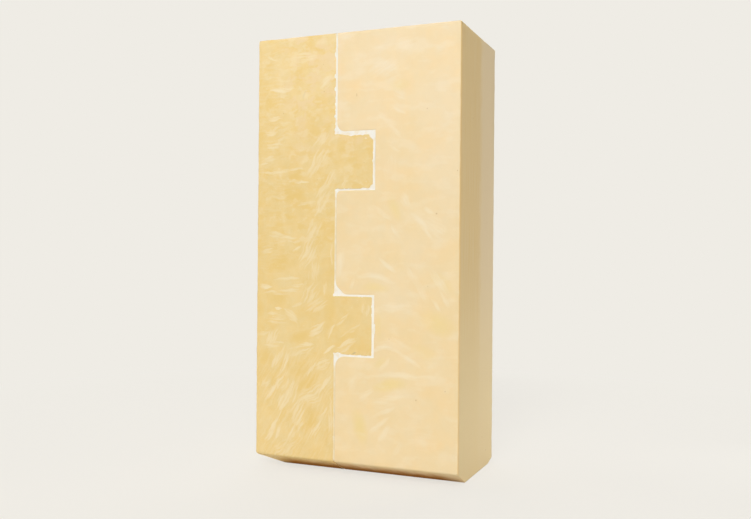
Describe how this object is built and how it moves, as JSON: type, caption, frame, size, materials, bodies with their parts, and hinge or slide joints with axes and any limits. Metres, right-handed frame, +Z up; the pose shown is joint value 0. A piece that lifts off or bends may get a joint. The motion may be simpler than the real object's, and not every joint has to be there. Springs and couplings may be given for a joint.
{
  "type": "refractory firebrick",
  "caption": "Refractory firebrick for furnace linings: a tongued block locked into a socketed block by a mortared joint, with bevelled edges at its standing end.",
  "frame": {"origin": "centre of the brick's footprint, on the surface that it stands on", "axes": "+Z up along the brick's length, -Y out of the large front face, +X across the width from the tongued block to the socketed block"},
  "size_m": [0.114, 0.065, 0.23],
  "materials": {
    "yellow_firebrick": "sawn matt firebrick, yellow with pale wiped streaks",
    "buff_firebrick": "smooth matt firebrick, pale buff with faint wiped arcs",
    "refractory_mortar": "dry off-white refractory mortar"
  },
  "bodies": {
    "root": {"tongue_block": "yellow_firebrick", "socket_block": "buff_firebrick", "mortar_joint": "refractory_mortar"}
  },
  "joints": []
}
